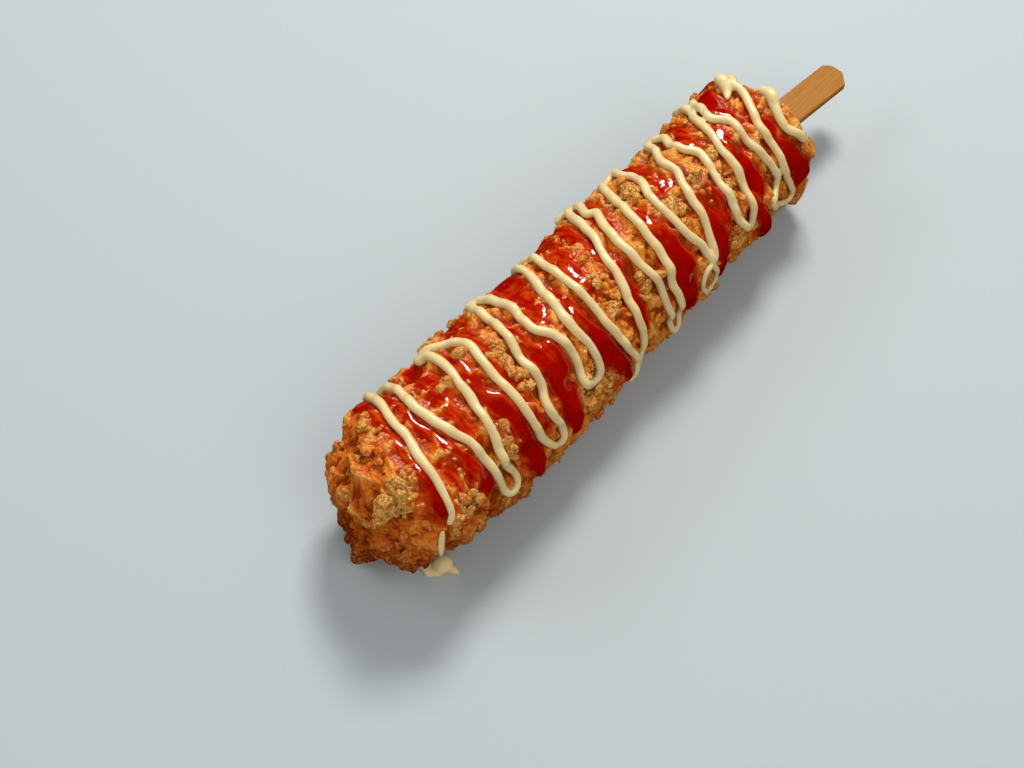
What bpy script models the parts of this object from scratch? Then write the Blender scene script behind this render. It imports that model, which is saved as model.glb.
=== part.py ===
"""A battered corn dog on a flat wooden stick, lying on its side.

The body lies along X with its rounded end at the left and the stick at the right. It is a turned
form with a craggy relief, and the thick sauces on it are tubes fused to it. A place on the body is
given by its distance from the rounded end and by the angle round the axis, which is zero on top and
grows towards -Y. Everything is in metres, and the origin is below the middle, on the resting plane.
"""
import math

import bmesh
import bpy
from mathutils import Matrix, Vector, noise

MM = 0.001

# The coated body
BODY_LENGTH = 187 * MM
NEAR_RADIUS = 21.5 * MM
FAR_RADIUS = 20.0 * MM
NEAR_DOME = 17 * MM
FAR_DOME = 6 * MM
FAR_SQUARENESS = 3.2
TIP_SHIFT = Vector((0, -1.0, -0.8)) * MM
REST_DEPTH = 0.4 * MM
BOX_CENTRE = Vector((113.11, 0, 0)) * MM
RING_SPACING = 4.2 * MM
DOME_RINGS = 6
END_RINGS = 4
SIDES = 38

# The relief of the fried crust
SWELL_SIZE = 24 * MM
SWELL_HEIGHT = 0.7 * MM
CRAG_SIZE = 9.0 * MM
CRAG_HEIGHT = 3.2 * MM
CRAG_BASE = 0.5 * MM
RELIEF_SEED = Vector((3.1, 7.7, 1.9))

# Clumps of batter: distance along the body, angle, half width and height, in millimetres and degrees
CLUMPS = (
    (7, 18, 6, 1.6), (15, -18, 4, 1.3), (17, 84, 6, 1.2), (4, 194, 6, 5.4), (5, 224, 6, 2.4),
    (23, -66, 5, 1.6), (37, 108, 5, 1.8),
    (53, 112, 5, 1.4), (66, 100, 6, 2.3), (66, -66, 6, 1.6), (86, 112, 6, 2.2), (98, -66, 5, 0.9),
    (113, -66, 5, 1.9), (129, 112, 5, 1.6), (130, -64, 5, 1.2), (146, -66, 4, 1.4),
    (166, -62, 6, 1.4), (180, -36, 7, 1.9), (185, -2, 5, 1.4), (186, 68, 4.5, 2.4),
    (72, 150, 7, 1.4), (110, -120, 7, 1.5), (40, -125, 7, 1.5), (150, 160, 7, 1.2),
)

# The cream line: where each pass lies at these angles, from the rounded end to the stick
STATIONS = (-23, -12, -1, 10, 21, 32, 43, 54)
PASSES = (
    (22.8, 21.4, 20.6, 18.9, 17.4, 16.5, 15.3, 14.2),
    (29.8, 28.4, 28.4, 28.5, 29.2, 30.8, 31.0, 31.4),
    (43.9, 42.7, 41.1, 40.5, 39.1, 37.9, 37.0, 35.8),
    (51.5, 51.5, 50.0, 49.0, 48.7, 48.5, 48.2, 48.4),
    (64.1, 62.3, 60.6, 59.0, 57.8, 57.8, 57.3, 54.8),
    (70.7, 69.5, 68.0, 67.5, 69.5, 70.5, 70.9, 70.2),
    (82.0, 79.9, 78.3, 77.1, 76.0, 76.0, 76.9, 77.0),
    (87.9, 86.6, 85.9, 85.4, 85.4, 85.3, 85.1, 86.3),
    (105.8, 104.3, 101.9, 99.7, 98.7, 97.2, 95.7, 95.1),
    (111.9, 109.1, 107.4, 106.2, 106.0, 106.1, 106.7, 108.0),
    (119.9, 118.1, 116.0, 114.4, 113.5, 113.1, 112.3, 111.6),
    (131.0, 128.3, 125.0, 123.4, 123.5, 123.7, 124.7, 126.6),
    (141.2, 138.7, 138.6, 136.0, 134.1, 133.2, 132.3, 131.1),
    (147.9, 147.3, 149.2, 148.1, 146.3, 144.8, 144.3, 143.4),
    (160.8, 158.6, 156.6, 154.4, 153.8, 153.3, 152.6, 151.2),
    (165.0, 162.4, 165.6, 164.4, 164.2, 164.8, 165.9, 167.2),
    (181.4, 179.6, 176.7, 173.9, 172.0, 171.9, 171.7, 171.2),
)
CREAM_START = ((12.5, 61), (13.4, 57.5))
TOP_TURNS = (
    ((24.7, -34), (26.0, -45), (27.0, -57), (28.0, -70), (29.4, -84), (31.8, -85), (33.2, -72), (33.4, -59),
     (32.4, -46), (31.1, -34)),
    ((44.0, -31), (43.5, -38), (42.6, -43), (43.6, -47), (45.2, -42.5), (47.2, -36.5), (50.0, -30.5)),
    ((65.0, -34), (66.3, -44), (67.3, -53), (68.4, -60), (70.3, -61.5), (71.4, -54), (71.6, -45), (70.9, -34)),
    ((83.7, -34), (84.6, -44), (85.2, -53), (86.4, -60), (88.6, -61), (89.9, -54), (90.1, -45), (88.9, -34)),
    ((107.2, -29), (108.6, -40), (110.6, -49), (112.5, -57), (114.4, -63), (116.0, -58), (115.0, -49),
     (113.0, -41), (111.8, -34), (113.3, -29)),
    ((122.0, -34), (124.4, -45), (126.8, -53), (129.4, -57.5), (132.0, -58.5), (133.9, -56), (132.9, -49),
     (132.5, -42), (132.8, -34)),
    ((144.2, -32), (146.8, -42), (148.3, -52), (150.1, -54), (151.3, -46), (151.3, -38), (148.9, -28)),
    ((162.6, -30), (165.0, -37), (167.6, -46), (169.0, -56), (170.2, -70), (171.8, -82), (174.0, -80),
     (174.0, -66), (172.2, -53), (170.0, -44), (168.0, -36), (166.3, -28)),
)
LOWER_TURNS = (
    ((31.5, 62), (32.0, 74), (32.5, 84), (34.0, 89.5), (36.5, 89.5), (38.1, 86), (38.0, 79), (35.6, 64)),
    ((49.0, 65), (50.5, 78), (52.6, 87), (55.0, 91.5), (56.9, 86), (57.0, 77), (55.4, 66)),
    ((69.5, 58), (69.0, 63), (70.6, 70), (73.4, 75.5), (76.0, 75.5), (77.2, 70), (77.4, 62)),
    ((87.0, 63), (88.3, 74), (90.2, 85), (91.2, 95), (89.8, 104), (88.0, 110), (90.4, 105), (93.3, 97),
     (95.2, 84), (95.5, 72), (95.0, 61)),
    ((108.5, 64), (109.0, 76), (110.0, 91), (110.2, 102), (111.0, 110), (112.4, 110), (113.2, 101),
     (112.5, 91), (111.5, 80), (111.4, 70), (111.1, 61)),
    ((127.0, 61), (127.6, 68.5), (129.4, 69.5), (130.5, 61)),
    ((143.5, 60), (144.5, 67), (146.4, 74), (148.6, 78), (150.1, 74), (150.6, 66), (150.8, 59)),
    ((168.0, 62), (168.5, 70), (166.6, 75), (163.0, 76.5), (161.4, 79), (162.4, 86), (165.5, 94), (169.6, 101),
     (173.0, 105), (175.0, 100), (173.7, 88), (172.0, 75), (171.1, 63)),
)
CREAM_RADIUS = 1.45 * MM
CREAM_LIFT = 0.75 * MM
CREAM_STEP = 5.0 * MM
OTHER_STROKES = (
    ((183.5, -5), (182.4, 10), (179.4, 24), (178.5, 35), (181.3, 50)),
    ((182.5, -42), (180.5, -33), (177.5, -25), (175.5, -21)),
    ((126.4, 68), (122, 77), (122.6, 87), (126.4, 102), (130, 103), (130.7, 88), (128.6, 76)),
    ((11, 62), (9.5, 71), (8.7, 80), (9.4, 92)),
)
CREAM_BLOB = Vector((12.9, -13.9, 2.8)) * MM
CREAM_BLOB_SIZE = Vector((4.2, 6.6, 3.2)) * MM

# The red sauce: each band's top, middle and lower end, and its half width
RED_BANDS = (
    ((21.5, -46), (16, 8), (12.8, 56), 2.9),
    ((24.5, -30), (25, 20), (27.8, 72), 2.7),
    ((38, -42), (41, 10), (46.3, 97), 3.2),
    ((56, -42), (62, 20), (62.4, 92), 3.6),
    ((77, -48), (79, 20), (87.5, 100), 3.6),
    ((93, -48), (95.5, 15), (97.5, 70), 3.7),
    ((113, -44), (116.5, 20), (118, 92), 3.4),
    ((134, -44), (138, 20), (136.5, 106), 3.3),
    ((153, -36), (157.5, 20), (157.4, 103), 3.6),
    ((171, -44), (173, 10), (177, 91), 4.2),
)
RED_PROUD = 0.9 * MM
RED_STEP = 11.0 * MM

# The stick
STICK_WIDTH = 11.0 * MM
STICK_THICKNESS = 2.2 * MM
STICK_SHOWN = 46.4 * MM
STICK_INSIDE = 70 * MM
STICK_YAW = math.radians(-4.9)
STICK_DROOP = math.radians(2.4)
STICK_CHAMFERS = (4.4 * MM, 2.2 * MM)
STICK_EDGE = 0.3 * MM
STICK_ROOT = Vector((182.5, 0.0, 0.0)) * MM
SOCKET_GAP = 0.3 * MM

CRUST_COLOUR = (0.46, 0.16, 0.03, 1)
WOOD_COLOUR = (0.50, 0.25, 0.07, 1)


def clear_scene():
    for obj in list(bpy.data.objects):
        bpy.data.objects.remove(obj, do_unlink=True)


def make_collection(name):
    collection = bpy.data.collections.new(name)
    bpy.context.scene.collection.children.link(collection)
    return collection


def make_material(name, colour, roughness):
    material = bpy.data.materials.new(name)
    material.use_nodes = True
    shader = material.node_tree.nodes["Principled BSDF"]
    shader.inputs["Base Color"].default_value = colour
    shader.inputs["Roughness"].default_value = roughness
    shader.inputs["Metallic"].default_value = 0.0
    return material


def mesh_object(name, mesh, collection):
    obj = bpy.data.objects.new(name, mesh)
    collection.objects.link(obj)
    return obj


def weld(mesh):
    """Join a curve's caps or a turned profile's seam, with every face pointing out."""
    form = bmesh.new()
    form.from_mesh(mesh)
    bmesh.ops.remove_doubles(form, verts=form.verts, dist=0.01 * MM)
    bmesh.ops.recalc_face_normals(form, faces=form.faces)
    form.to_mesh(mesh)
    form.free()


def to_mesh(obj, collection):
    """Replace a curve or an object with modifiers by the mesh that it shows."""
    bpy.context.view_layer.update()
    evaluated = obj.evaluated_get(bpy.context.evaluated_depsgraph_get())
    mesh = bpy.data.meshes.new_from_object(evaluated)
    name = obj.name
    matrix = obj.matrix_world.copy()
    bpy.data.objects.remove(obj, do_unlink=True)
    result = mesh_object(name, mesh, collection)
    result.matrix_world = matrix
    return result


def full_radius(x):
    """Radius of the tapering body without its rounded ends."""
    return NEAR_RADIUS + (FAR_RADIUS - NEAR_RADIUS) * x / BODY_LENGTH


def axis_height(x):
    """Height of the body's axis, which lets its whole length rest."""
    return full_radius(x) - REST_DEPTH


def body_radius(x):
    """Radius of the turned form under the relief."""
    radius = full_radius(x)
    if x < NEAR_DOME:
        return radius * math.sqrt(max(0.0, 1 - (1 - x / NEAR_DOME) ** 2))
    start = BODY_LENGTH - FAR_DOME
    if x > start:
        depth = min(1.0, (x - start) / FAR_DOME)
        return radius * (1 - depth ** FAR_SQUARENESS) ** (1 / FAR_SQUARENESS)
    return radius


def body_profile():
    """Rings of the turned form, from the rounded end to the stick end."""
    rings = [(NEAR_DOME * (1 - math.cos(math.pi / 2 * i / DOME_RINGS))) for i in range(DOME_RINGS)]
    straight = BODY_LENGTH - FAR_DOME - NEAR_DOME
    count = round(straight / RING_SPACING)
    rings += [NEAR_DOME + straight * i / count for i in range(count)]
    rings += [BODY_LENGTH - FAR_DOME * (1 - math.sin(math.pi / 2 * i / END_RINGS)) for i in range(END_RINGS)]
    profile = [(x, body_radius(x)) for x in rings]
    profile += [(BODY_LENGTH, FAR_RADIUS * share) for share in (0.72, 0.36, 0.0)]
    return profile


def clump_height(x, angle):
    height = 0.0
    for along, around, half_width, rise in CLUMPS:
        arc = math.radians((angle - around + 180) % 360 - 180) * NEAR_RADIUS
        distance = math.hypot(x - along * MM, arc) / (half_width * MM)
        height += rise * MM * math.exp(-distance ** 2)
    return height


def broad_relief(point):
    """Slow swelling of the coating and its clumps."""
    angle = math.degrees(math.atan2(-point.y, point.z))
    swell = noise.noise(point / SWELL_SIZE + RELIEF_SEED)
    return SWELL_HEIGHT * swell + clump_height(point.x, angle)


def crag_relief(point):
    """Sharp crags: ridges where a noise changes sign, lower between them."""
    ridge = 1 - 2.2 * abs(noise.noise(point / CRAG_SIZE + RELIEF_SEED * 2))
    patch = noise.noise(point / (2 * CRAG_SIZE) - RELIEF_SEED)
    return CRAG_HEIGHT * (0.45 * ridge + 0.8 * patch) - CRAG_BASE


def relief(point):
    return broad_relief(point) + crag_relief(point)


def push_out(point, height):
    """Move a point of the turned form outwards, away from the body's axis."""
    middle = Vector((min(max(point.x, NEAR_DOME), BODY_LENGTH - FAR_DOME), 0, 0))
    return point + (point - middle).normalized() * height


def settle(point):
    """Take a point from the body's axis to its place over the resting plane."""
    lean = max(0.0, 1 - point.x / (2 * NEAR_DOME)) ** 2
    placed = point + TIP_SHIFT * lean + Vector((0, 0, axis_height(point.x))) - BOX_CENTRE
    placed.z = max(placed.z, 0.0)
    return placed


def on_body(x, angle, lift):
    """A place at a height over the crust, for what lies on it."""
    radius = body_radius(x)
    turn = math.radians(angle)
    point = Vector((x, -radius * math.sin(turn), radius * math.cos(turn)))
    return settle(push_out(point, relief(point) + lift))


def make_crust(collection):
    """The coated body: a turned profile, pushed in and out by the relief."""
    profile = body_profile()
    outline = bpy.data.meshes.new("outline")
    edges = [(i, i + 1) for i in range(len(profile) - 1)]
    outline.from_pydata([(x, 0, radius) for x, radius in profile], edges, [])
    crust = mesh_object("corn_dog", outline, collection)
    screw = crust.modifiers.new("turn", "SCREW")
    screw.axis = "X"
    screw.steps = SIDES
    screw.render_steps = SIDES
    screw.use_merge_vertices = True
    screw.merge_threshold = 0.01 * MM
    crust = to_mesh(crust, collection)
    weld(crust.data)
    for vertex in crust.data.vertices:
        point = vertex.co.copy()
        vertex.co = settle(push_out(point, relief(point)))
    return crust


def smooth_route(points, step):
    """Evenly spaced places on a Catmull-Rom curve through (distance, angle) points."""
    padded = [points[0]] + list(points) + [points[-1]]
    dense = []
    for a, b, c, d in zip(padded, padded[1:], padded[2:], padded[3:]):
        for i in range(12):
            t = i / 12
            dense.append(tuple(0.5 * (2 * q + (r - p) * t + (2 * p - 5 * q + 4 * r - s) * t ** 2
                                      + (3 * q - p - 3 * r + s) * t ** 3)
                               for p, q, r, s in zip(a, b, c, d)))
    dense.append(tuple(points[-1]))
    lengths = [0.0]
    for (x0, a0), (x1, a1) in zip(dense, dense[1:]):
        lengths.append(lengths[-1] + math.hypot((x1 - x0) * MM, math.radians(a1 - a0) * NEAR_RADIUS))
    count = max(2, round(lengths[-1] / step))
    route = []
    index = 0
    for i in range(count + 1):
        wanted = lengths[-1] * i / count
        while index < len(dense) - 2 and lengths[index + 1] < wanted:
            index += 1
        share = (wanted - lengths[index]) / max(lengths[index + 1] - lengths[index], 1e-9)
        route.append(tuple(u + (v - u) * min(share, 1.0) for u, v in zip(dense[index], dense[index + 1])))
    return route


def make_tube(name, places, radii, collection):
    """A closed tube of six sides through the places, with its own radius at each."""
    curve = bpy.data.curves.new(name, "CURVE")
    curve.dimensions = "3D"
    curve.bevel_depth = 1.0
    curve.bevel_resolution = 1
    curve.use_fill_caps = True
    spline = curve.splines.new("POLY")
    spline.points.add(len(places) - 1)
    for point, place, radius in zip(spline.points, places, radii):
        point.co = (*place, 1)
        point.radius = radius
    tube = to_mesh(mesh_object(name, curve, collection), collection)
    weld(tube.data)
    return tube


def half_turn(turn, later):
    """The part of a turn before its middle point, or after it, with that point."""
    middle = len(turn) // 2
    return list(turn[middle:]) if later else list(turn[:middle + 1])


def cream_passes():
    """Each pass of the zigzag with half of the turn at either end, in (distance, angle)."""
    passes = []
    for number, row in enumerate(PASSES):
        points = list(zip(row, STATIONS))
        going_down = number % 2
        if number // 2 < len(TOP_TURNS):
            top = half_turn(TOP_TURNS[number // 2], later=going_down)
            points = (top if going_down else top[::-1]) + points
        if going_down:
            points += half_turn(LOWER_TURNS[number // 2], later=False)
        elif number:
            points += half_turn(LOWER_TURNS[number // 2 - 1], later=True)[::-1]
        else:
            points += CREAM_START[::-1]
        passes.append(points)
    return passes


def make_cream(collection):
    """The thick cream line over everything else."""
    for number, points in enumerate(cream_passes() + list(OTHER_STROKES)):
        route = smooth_route(points, CREAM_STEP)
        places = [on_body(x * MM, angle, CREAM_LIFT) for x, angle in route]
        make_tube(f"cream_{number}", places, [CREAM_RADIUS] * len(places), collection)


def make_cream_blob(collection):
    """The drop of cream that lies beside the rounded end and touches it."""
    form = bmesh.new()
    bmesh.ops.create_icosphere(form, subdivisions=2, radius=1.0)
    place = CREAM_BLOB - BOX_CENTRE
    for vertex in form.verts:
        vertex.co = Vector(a * b for a, b in zip(vertex.co, CREAM_BLOB_SIZE)) + place
        vertex.co.z = max(vertex.co.z, 0.0)
    mesh = bpy.data.meshes.new("cream_blob")
    form.to_mesh(mesh)
    form.free()
    mesh_object("cream_blob", mesh, collection)


def make_red_sauce(collection):
    """Low wide bands of red sauce that swell towards their lower ends."""
    for number, (top, middle, low, half_width) in enumerate(RED_BANDS):
        route = smooth_route((top, middle, low), RED_STEP)
        last = len(route) - 1
        radii = [half_width * MM * (0.75 + 0.3 * i / last) for i in range(last + 1)]
        places = [on_body(x * MM, angle, RED_PROUD - radius)
                  for (x, angle), radius in zip(route, radii)]
        make_tube(f"red_{number}", places, radii, collection)


def stick_outline(margin, back):
    """Outline of the stick in its own plane, from inside the food to the cut tip."""
    half = STICK_WIDTH / 2 + margin
    tip = STICK_SHOWN + margin
    low_cut, high_cut = STICK_CHAMFERS
    return ((-back, -half), (tip - low_cut, -half), (tip, -half + low_cut),
            (tip, half - high_cut), (tip - high_cut, half), (-back, half))


def make_stick_blank(name, margin, back, collection):
    """A flat blank of the stick, wider all round by the margin."""
    outline = bpy.data.curves.new(name, "CURVE")
    outline.dimensions = "2D"
    outline.fill_mode = "BOTH"
    outline.extrude = STICK_THICKNESS / 2 + margin
    corners = stick_outline(margin, back)
    spline = outline.splines.new("POLY")
    spline.points.add(len(corners) - 1)
    for point, (x, y) in zip(spline.points, corners):
        point.co = (x, y, 0, 1)
    spline.use_cyclic_u = True
    blank = mesh_object(name, outline, collection)
    place = STICK_ROOT + Vector((0, 0, axis_height(STICK_ROOT.x))) - BOX_CENTRE
    turn = Matrix.Rotation(STICK_YAW, 4, "Z") @ Matrix.Rotation(STICK_DROOP, 4, "Y")
    blank.matrix_world = Matrix.Translation(place) @ turn
    blank = to_mesh(blank, collection)
    weld(blank.data)
    return blank


def make_stick(collection):
    """The flat stick with eased edges."""
    stick = make_stick_blank("stick", 0.0, STICK_INSIDE, collection)
    bevel = stick.modifiers.new("eased edges", "BEVEL")
    bevel.width = STICK_EDGE
    bevel.segments = 1
    bevel.limit_method = "ANGLE"
    return stick


def add_boolean(obj, operation, collection):
    boolean = obj.modifiers.new(operation.lower(), "BOOLEAN")
    boolean.operation = operation
    boolean.operand_type = "COLLECTION"
    boolean.collection = collection
    boolean.solver = "MANIFOLD"


def remove_collection(collection):
    for obj in list(collection.objects):
        bpy.data.objects.remove(obj, do_unlink=True)
    bpy.data.collections.remove(collection)


def keep_largest_shell(mesh):
    """Drop loose scraps and sealed hollows that fusing can leave."""
    form = bmesh.new()
    form.from_mesh(mesh)
    bmesh.ops.triangulate(form, faces=form.faces)
    unseen = set(form.verts)
    shells = []
    while unseen:
        reached = [unseen.pop()]
        shell = []
        while reached:
            vertex = reached.pop()
            shell.append(vertex)
            for edge in vertex.link_edges:
                other = edge.other_vert(vertex)
                if other in unseen:
                    unseen.remove(other)
                    reached.append(other)
        shells.append(shell)
    shells.sort(key=len)
    for shell in shells[:-1]:
        bmesh.ops.delete(form, geom=shell, context="VERTS")
    form.to_mesh(mesh)
    form.free()


def main():
    clear_scene()
    part = make_collection("corn dog")
    sauces = make_collection("sauces")
    cutters = make_collection("cutters")

    crust = make_crust(part)
    make_red_sauce(sauces)
    make_cream(sauces)
    make_cream_blob(sauces)
    add_boolean(crust, "UNION", sauces)
    crust = to_mesh(crust, part)
    remove_collection(sauces)

    socket = make_stick_blank("socket", SOCKET_GAP, STICK_INSIDE + SOCKET_GAP, cutters)
    socket.hide_render = True
    socket.display_type = "WIRE"
    add_boolean(crust, "DIFFERENCE", cutters)
    crust = to_mesh(crust, part)
    remove_collection(cutters)
    keep_largest_shell(crust.data)
    crust.data.shade_smooth()
    crust.data.materials.append(make_material("fried crust", CRUST_COLOUR, 0.6))

    stick = make_stick(part)
    stick.data.materials.append(make_material("stick wood", WOOD_COLOUR, 0.65))


main()
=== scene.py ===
"""Looks of the corn dog: craggy fried crust, glossy red sauce, cream zigzag and wooden stick.

A place on the body is its distance from the rounded end and the angle round the axis, zero on top
and growing towards -Y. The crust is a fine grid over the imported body, pushed in and out by a relief.
The red sauce is a second skin over the same grid, thick where the flows run, and the cream is a
strand draped over both. Lengths are in metres unless a table says millimetres.
"""
import math
import random

import bmesh
import bpy
import numpy as np
from mathutils import Matrix, Quaternion, Vector, noise


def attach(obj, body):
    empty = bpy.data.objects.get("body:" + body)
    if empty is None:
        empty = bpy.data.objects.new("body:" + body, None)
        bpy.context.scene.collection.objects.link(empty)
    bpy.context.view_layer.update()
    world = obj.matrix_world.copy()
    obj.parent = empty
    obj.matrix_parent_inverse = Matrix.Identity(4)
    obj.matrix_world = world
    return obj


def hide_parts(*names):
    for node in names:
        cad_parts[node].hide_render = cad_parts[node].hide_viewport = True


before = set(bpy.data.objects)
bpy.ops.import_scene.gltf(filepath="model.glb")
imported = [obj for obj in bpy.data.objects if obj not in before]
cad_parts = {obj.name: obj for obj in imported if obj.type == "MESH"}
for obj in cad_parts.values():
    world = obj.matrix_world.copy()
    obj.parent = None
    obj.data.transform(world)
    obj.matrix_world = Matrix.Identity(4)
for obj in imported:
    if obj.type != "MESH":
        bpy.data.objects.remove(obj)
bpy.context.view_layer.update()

MM = 0.001

# The coated body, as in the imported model
BODY_LENGTH = 187 * MM
NEAR_RADIUS = 21.5 * MM
FAR_RADIUS = 20.0 * MM
NEAR_DOME = 17 * MM
FAR_DOME = 6 * MM
FAR_SQUARENESS = 3.2
TIP_SHIFT = Vector((0, -1.0, -0.8)) * MM
REST_DEPTH = 0.4 * MM
BOX_CENTRE = Vector((113.11, 0, 0)) * MM
SWELL_SIZE = 24 * MM
SWELL_HEIGHT = 0.7 * MM
CRAG_SIZE = 9.0 * MM
CRAG_HEIGHT = 3.2 * MM
CRAG_BASE = 0.5 * MM
RELIEF_SEED = Vector((3.1, 7.7, 1.9))

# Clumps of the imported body: distance, angle, half width and height, in millimetres and degrees
CLUMPS = (
    (7, 18, 6, 1.6), (15, -18, 4, 1.3), (17, 84, 6, 1.2), (4, 194, 6, 5.4), (5, 224, 6, 2.4),
    (23, -66, 5, 1.6), (37, 108, 5, 1.8),
    (53, 112, 5, 1.4), (66, 100, 6, 2.3), (66, -66, 6, 1.6), (86, 112, 6, 2.2), (98, -66, 5, 0.9),
    (113, -66, 5, 1.9), (129, 112, 5, 1.6), (130, -64, 5, 1.2), (146, -66, 4, 1.4),
    (166, -62, 6, 1.4), (180, -36, 7, 1.9), (185, -2, 5, 1.4), (186, 68, 4.5, 2.4),
    (72, 150, 7, 1.4), (110, -120, 7, 1.5), (40, -125, 7, 1.5), (150, 160, 7, 1.2),
)

# The fine grid over the body: its steps and span round the body are in degrees
RING_STEP = 0.42 * MM
FINE_ANGLES = (-78, 118)
FINE_STEP = 1.14
COARSE_STEP = 2.4
SPLIT_PLACE = 94 * MM

# The fried crust's fine relief
WARP_SIZE = 6.5 * MM
WARP_REACH = 2.8 * MM
WARP_OFFSETS = (Vector((9.3, -1.5, -8.0)), Vector((0.6, 5.1, 3.7)), Vector((-4.2, 7.3, 1.9)))
LUMP_SIZE = 6.2 * MM
LUMP_HEIGHT = 1.3 * MM
LOBE_SIZE = 2.7 * MM
LOBE_HEIGHT = 0.65 * MM
BEAD_SIZE = 1.4 * MM
BEAD_HEIGHT = 0.62 * MM
PLATEAU_HEIGHT = 0.8 * MM
GRAIN_SIZE = 1.45 * MM
GRAIN_HEIGHT = 0.6 * MM
WAVE_SIZE = 3.4 * MM
WAVE_HEIGHT = 0.5 * MM
TAN_SIZE = 8 * MM
CRUMBLY_RANGE = (0.44, 0.60)
CALMING = 0.45
CREASE_DEPTH = 0.85 * MM

# Dents low on the rounded end: distance, angle, half width, height
DENTS = ((9, 148, 7, -2.4), (16, 122, 6, -2.0), (10.4, 93, 2.6, -2.8), (11, 108, 4.4, -3.0))

# Places where the batter is smooth: distance, angle, half width, strength
SMOOTH_PLACES = (
    (14, -66, 5, 0.8), (14, -45, 5, 0.8), (8, -36, 5, 0.9), (10, -12, 4.5, 0.8), (13, 2, 3.5, 0.7),
    (3, -20, 4, 0.9), (18, 18, 3, 0.5), (1, 40, 4, 0.6), (5, 50, 3.5, 0.6),
)

# Loose flakes and crumbs: sizes in millimetres, spans of distance and of angle, chances
FLAKE_SEED = 11
FLAKE_COUNT = 230
CRUMB_COUNT = 620
FLAKE_SIZES = (0.9, 2.0)
CRUMB_SIZES = (0.4, 0.85)
LARGE_FLAKE = 1.5 * MM
FLAKE_PROPORTIONS = ((0.8, 1.2), (0.6, 0.95), (0.45, 0.75))
FLAKE_LEAN = 0.5
FLAKE_LIFT = 0.25
FLAKE_CLEARANCE = 2.2
FLAKE_WET_LIMIT = 0.15
FLAKE_SPAN = (1.5, 186)
SHOWN_ANGLES = (-84, 128)
HIDDEN_ANGLES = (128, 276)
SHOWN_SHARE = 0.8
SMOOTH_CHANCE = 0.08
NOISE_SPAN = 50

# Tan crumbly patches that show: distance, angle, half width in millimetres, strength
TAN_PATCHES = (
    (6, 22, 4.5, 1.0), (12, 20, 3, 0.8), (18.5, -18, 3, 0.8), (19, -34, 3, 0.8), (22.5, 8, 2.5, 0.7),
    (24, 42, 2.5, 0.8), (21, 62, 4.5, 0.8), (34, -20, 2.2, 0.9), (39, -12, 1.8, 0.8),
    (39.5, 58, 3.5, 0.8),
    (47.5, -16, 2, 0.8), (55, -2, 3.5, 0.9), (54, 18, 2, 0.9), (69, 74, 5, 0.9), (72, -20, 2.5, 0.6),
    (82, 78, 4, 0.8), (92, 14, 3.5, 0.8), (91, 44, 4, 0.5), (102, 48, 3, 0.8), (107, 16, 3, 0.8),
    (112, 62, 3, 0.8), (124, -20, 4, 0.9), (128, 16, 3.5, 0.9), (122, 8, 2, 0.6), (139, 70, 5, 0.9),
    (140, 12, 4, 0.7), (147, 34, 3.5, 0.9), (151, 6, 2.5, 0.7), (157, 78, 4, 0.8), (172, 28, 2.2, 0.8),
    (179, 64, 4, 0.9), (63, 2, 3, 0.5), (96, -28, 4, 0.5), (152, -34, 3, 0.7), (56, -42, 3, 0.6),
)

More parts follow.
